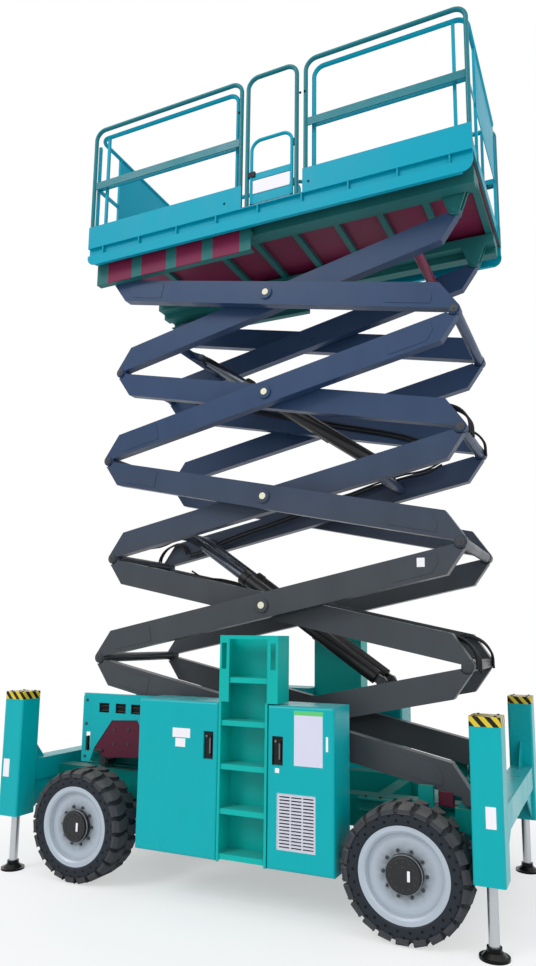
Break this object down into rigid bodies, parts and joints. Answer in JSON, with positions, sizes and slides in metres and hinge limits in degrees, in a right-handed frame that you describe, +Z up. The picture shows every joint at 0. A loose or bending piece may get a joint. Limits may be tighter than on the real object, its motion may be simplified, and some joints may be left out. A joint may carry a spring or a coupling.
{
  "type": "rough terrain scissor lift",
  "caption": "Four-wheel rough-terrain scissor lift with a railed work platform on a stack of crossed arms, levelling outriggers, side cabinets and access ladders.",
  "frame": {"origin": "on the ground under the centre of the overall box of the partly raised machine, wheels and outrigger pads on the ground at z = 0", "axes": "+X along the machine towards the fixed scissor pivots, +Y across it to the far side, +Z up"},
  "size_m": [4.524, 2.344, 7.5699],
  "materials": {
    "chassis_paint": "satin",
    "teal_paint": "gloss",
    "platform_paint": "gloss",
    "arm_paint": "satin",
    "black_paint": "satin",
    "engine_grey": "matte",
    "black_plastic": "matte",
    "chrome_rod": "polished",
    "leg_steel": "brushed",
    "rim_paint": "satin",
    "tyre": "matte",
    "red_primer": "matte"
  },
  "bodies": {
    "chassis": {"chassis_frame": "chassis_paint", "axles": "black_paint", "side_guards": "teal_paint", "slide_guides": "red_primer", "outrigger_housings": "teal_paint", "cabinets": "teal_paint", "ladders": "teal_paint", "engine": "engine_grey", "tanks": "black_plastic"},
    "platform": {"platform_deck": "platform_paint", "platform_rails": "platform_paint", "platform_sides": "platform_paint", "guard_rails": "platform_paint"},
    "extension_left": {"extension_deck_left": "platform_paint"},
    "extension_right": {"extension_deck_right": "platform_paint"},
    "gate": {"entry_gate": "platform_paint"},
    "tie_rod": {"tie_rod": "black_paint"},
    "knuckle_near": {"knuckle_near": "black_paint"},
    "knuckle_far": {"knuckle_far": "black_paint"},
    "barrels_lower": {"lift_barrels_lower": "black_paint"},
    "rods_lower": {"lift_rods_lower": "chrome_rod"},
    "barrels_upper": {"lift_barrels_upper": "black_paint"},
    "rods_upper": {"lift_rods_upper": "chrome_rod"},
    "outer_frame_1": {"outer_frame_1": "arm_paint"},
    "inner_frame_1": {"inner_frame_1": "arm_paint"},
    "outer_frame_2": {"outer_frame_2": "arm_paint"},
    "inner_frame_2": {"inner_frame_2": "arm_paint"},
    "outer_frame_3": {"outer_frame_3": "arm_paint"},
    "inner_frame_3": {"inner_frame_3": "arm_paint"},
    "outer_frame_4": {"outer_frame_4": "arm_paint"},
    "inner_frame_4": {"inner_frame_4": "arm_paint"},
    "outer_frame_5": {"outer_frame_5": "arm_paint"},
    "inner_frame_5": {"inner_frame_5": "arm_paint"},
    "wheel_left_near": {"tyre_left_near": "tyre", "rim_left_near": "rim_paint"},
    "outrigger_leg_left_near": {"outrigger_leg_left_near": "leg_steel"},
    "wheel_left_far": {"tyre_left_far": "tyre", "rim_left_far": "rim_paint"},
    "outrigger_leg_left_far": {"outrigger_leg_left_far": "leg_steel"},
    "wheel_right_near": {"tyre_right_near": "tyre", "rim_right_near": "rim_paint"},
    "outrigger_leg_right_near": {"outrigger_leg_right_near": "leg_steel"},
    "wheel_right_far": {"tyre_right_far": "tyre", "rim_right_far": "rim_paint"},
    "outrigger_leg_right_far": {"outrigger_leg_right_far": "leg_steel"},
    "door_left_near": {"door_left_near": "teal_paint"},
    "door_left_far": {"door_left_far": "teal_paint"},
    "door_right_near": {"door_right_near": "teal_paint"},
    "door_right_far": {"door_right_far": "teal_paint"}
  },
  "joints": [
    {"name": "lift", "type": "hinge", "parent": "chassis", "child": "outer_frame_1", "pos_m": [1.9421, 0, 0.935], "axis": [0, 1, 0], "range_deg": [-12, 24]},
    {"name": "centre_pins_1", "type": "hinge", "parent": "outer_frame_1", "child": "inner_frame_1", "pos_m": [0.19, 0, 1.42749], "axis": [0, 1, 0], "range_deg": [-48.5, 24.5]},
    {"name": "outer_pins_1_2", "type": "hinge", "parent": "outer_frame_1", "child": "outer_frame_2", "pos_m": [-1.5621, 0, 1.91999], "axis": [0, 1, 0], "range_deg": [-48.5, 24.5]},
    {"name": "outer_pins_2_3", "type": "hinge", "parent": "outer_frame_2", "child": "outer_frame_3", "pos_m": [1.9421, 0, 2.90497], "axis": [0, 1, 0], "range_deg": [-24.5, 48.5]},
    {"name": "outer_pins_3_4", "type": "hinge", "parent": "outer_frame_3", "child": "outer_frame_4", "pos_m": [-1.5621, 0, 3.88996], "axis": [0, 1, 0], "range_deg": [-48.5, 24.5]},
    {"name": "outer_pins_4_5", "type": "hinge", "parent": "outer_frame_4", "child": "outer_frame_5", "pos_m": [1.9421, 0, 4.87494], "axis": [0, 1, 0], "range_deg": [-24.5, 48.5]},
    {"name": "inner_pins_1_2", "type": "hinge", "parent": "inner_frame_1", "child": "inner_frame_2", "pos_m": [1.9421, 0, 1.91999], "axis": [0, 1, 0], "range_deg": [-24.5, 48.5]},
    {"name": "inner_pins_2_3", "type": "hinge", "parent": "inner_frame_2", "child": "inner_frame_3", "pos_m": [-1.5621, 0, 2.90497], "axis": [0, 1, 0], "range_deg": [-48.5, 24.5]},
    {"name": "inner_pins_3_4", "type": "hinge", "parent": "inner_frame_3", "child": "inner_frame_4", "pos_m": [1.9421, 0, 3.88996], "axis": [0, 1, 0], "range_deg": [-24.5, 48.5]},
    {"name": "inner_pins_4_5", "type": "hinge", "parent": "inner_frame_4", "child": "inner_frame_5", "pos_m": [-1.5621, 0, 4.87494], "axis": [0, 1, 0], "range_deg": [-48.5, 24.5]},
    {"name": "platform_pins", "type": "hinge", "parent": "inner_frame_5", "child": "platform", "pos_m": [1.9421, 0, 5.85993], "axis": [0, 1, 0], "range_deg": [-12.5, 24.5]},
    {"name": "barrel_pivots_lower", "type": "hinge", "parent": "inner_frame_1", "child": "barrels_lower", "pos_m": [1.1223, 0, 1.75854], "axis": [0, 1, 0], "range_deg": [-30.5, 60.5]},
    {"name": "rod_slides_lower", "type": "slide", "parent": "barrels_lower", "child": "rods_lower", "axis": [-0.8228, 0, 0.5683], "range_m": [-0.4952, 0.9874]},
    {"name": "barrel_pivots_upper", "type": "hinge", "parent": "inner_frame_3", "child": "barrels_upper", "pos_m": [1.1223, 0, 3.72851], "axis": [0, 1, 0], "range_deg": [-30.5, 60.5]},
    {"name": "rod_slides_upper", "type": "slide", "parent": "barrels_upper", "child": "rods_upper", "axis": [-0.8228, 0, 0.5683], "range_m": [-0.4952, 0.9874]},
    {"name": "steering_near", "type": "hinge", "parent": "chassis", "child": "knuckle_near", "pos_m": [-1.386, -0.79, 0.475], "axis": [0, 0, 1], "range_deg": [-28, 28]},
    {"name": "steering_far", "type": "hinge", "parent": "chassis", "child": "knuckle_far", "pos_m": [-1.386, 0.79, 0.475], "axis": [0, 0, 1], "range_deg": [-28.5, 28.5]},
    {"name": "tie_rod_slide", "type": "slide", "parent": "chassis", "child": "tie_rod", "axis": [0, 1, 0], "range_m": [-0.085, 0.085]},
    {"name": "wheel_left_near_spin", "type": "hinge", "parent": "knuckle_near", "child": "wheel_left_near", "pos_m": [-1.386, -1, 0.475], "axis": [0, 1, 0], "continuous": true},
    {"name": "wheel_left_far_spin", "type": "hinge", "parent": "knuckle_far", "child": "wheel_left_far", "pos_m": [-1.386, 1, 0.475], "axis": [0, 1, 0], "continuous": true},
    {"name": "wheel_right_near_spin", "type": "hinge", "parent": "chassis", "child": "wheel_right_near", "pos_m": [1.556, -1, 0.475], "axis": [0, 1, 0], "continuous": true},
    {"name": "wheel_right_far_spin", "type": "hinge", "parent": "chassis", "child": "wheel_right_far", "pos_m": [1.556, 1, 0.475], "axis": [0, 1, 0], "continuous": true},
    {"name": "outrigger_left_near", "type": "slide", "parent": "chassis", "child": "outrigger_leg_left_near", "axis": [0, 0, 1], "range_m": [-0.25, 0.4]},
    {"name": "outrigger_left_far", "type": "slide", "parent": "chassis", "child": "outrigger_leg_left_far", "axis": [0, 0, 1], "range_m": [-0.25, 0.4]},
    {"name": "outrigger_right_near", "type": "slide", "parent": "chassis", "child": "outrigger_leg_right_near", "axis": [0, 0, 1], "range_m": [-0.25, 0.4]},
    {"name": "outrigger_right_far", "type": "slide", "parent": "chassis", "child": "outrigger_leg_right_far", "axis": [0, 0, 1], "range_m": [-0.25, 0.4]},
    {"name": "door_left_near_hinge", "type": "hinge", "parent": "chassis", "child": "door_left_near", "pos_m": [-0.732, -1.172, 0.938], "axis": [0, 0, -1], "range_deg": [0, 100]},
    {"name": "door_right_near_hinge", "type": "hinge", "parent": "chassis", "child": "door_right_near", "pos_m": [1.044, -1.172, 0.938], "axis": [0, 0, 1], "range_deg": [0, 100]},
    {"name": "door_left_far_hinge", "type": "hinge", "parent": "chassis", "child": "door_left_far", "pos_m": [-0.732, 1.172, 0.938], "axis": [0, 0, 1], "range_deg": [0, 100]},
    {"name": "door_right_far_hinge", "type": "hinge", "parent": "chassis", "child": "door_right_far", "pos_m": [1.044, 1.172, 0.938], "axis": [0, 0, -1], "range_deg": [0, 100]},
    {"name": "gate_hinge", "type": "hinge", "parent": "platform", "child": "gate", "pos_m": [0.519, -0.843, 6.47993], "axis": [0, 0, -1], "range_deg": [0, 90]},
    {"name": "extension_left_slide", "type": "slide", "parent": "platform", "child": "extension_left", "axis": [-1, 0, 0], "range_m": [0, 1.2]},
    {"name": "extension_right_slide", "type": "slide", "parent": "platform", "child": "extension_right", "axis": [1, 0, 0], "range_m": [0, 1]}
  ],
  "couplings": [
    {"joint": "centre_pins_1", "follows": "lift", "ratio": -2},
    {"joint": "outer_pins_1_2", "follows": "lift", "ratio": -2},
    {"joint": "outer_pins_2_3", "follows": "lift", "ratio": 2},
    {"joint": "outer_pins_3_4", "follows": "lift", "ratio": -2},
    {"joint": "outer_pins_4_5", "follows": "lift", "ratio": 2},
    {"joint": "inner_pins_1_2", "follows": "lift", "ratio": 2},
    {"joint": "inner_pins_2_3", "follows": "lift", "ratio": -2},
    {"joint": "inner_pins_3_4", "follows": "lift", "ratio": 2},
    {"joint": "inner_pins_4_5", "follows": "lift", "ratio": -2},
    {"joint": "platform_pins", "follows": "lift", "ratio": 1},
    {"joint": "barrel_pivots_lower", "follows": "lift", "ratio": 2.5},
    {"joint": "rod_slides_lower", "follows": "lift", "m_per_rad": 2.35},
    {"joint": "barrel_pivots_upper", "follows": "lift", "ratio": 2.5},
    {"joint": "rod_slides_upper", "follows": "lift", "m_per_rad": 2.35},
    {"joint": "steering_far", "follows": "steering_near", "ratio": 1},
    {"joint": "tie_rod_slide", "follows": "steering_near", "m_per_rad": 0.17}
  ]
}
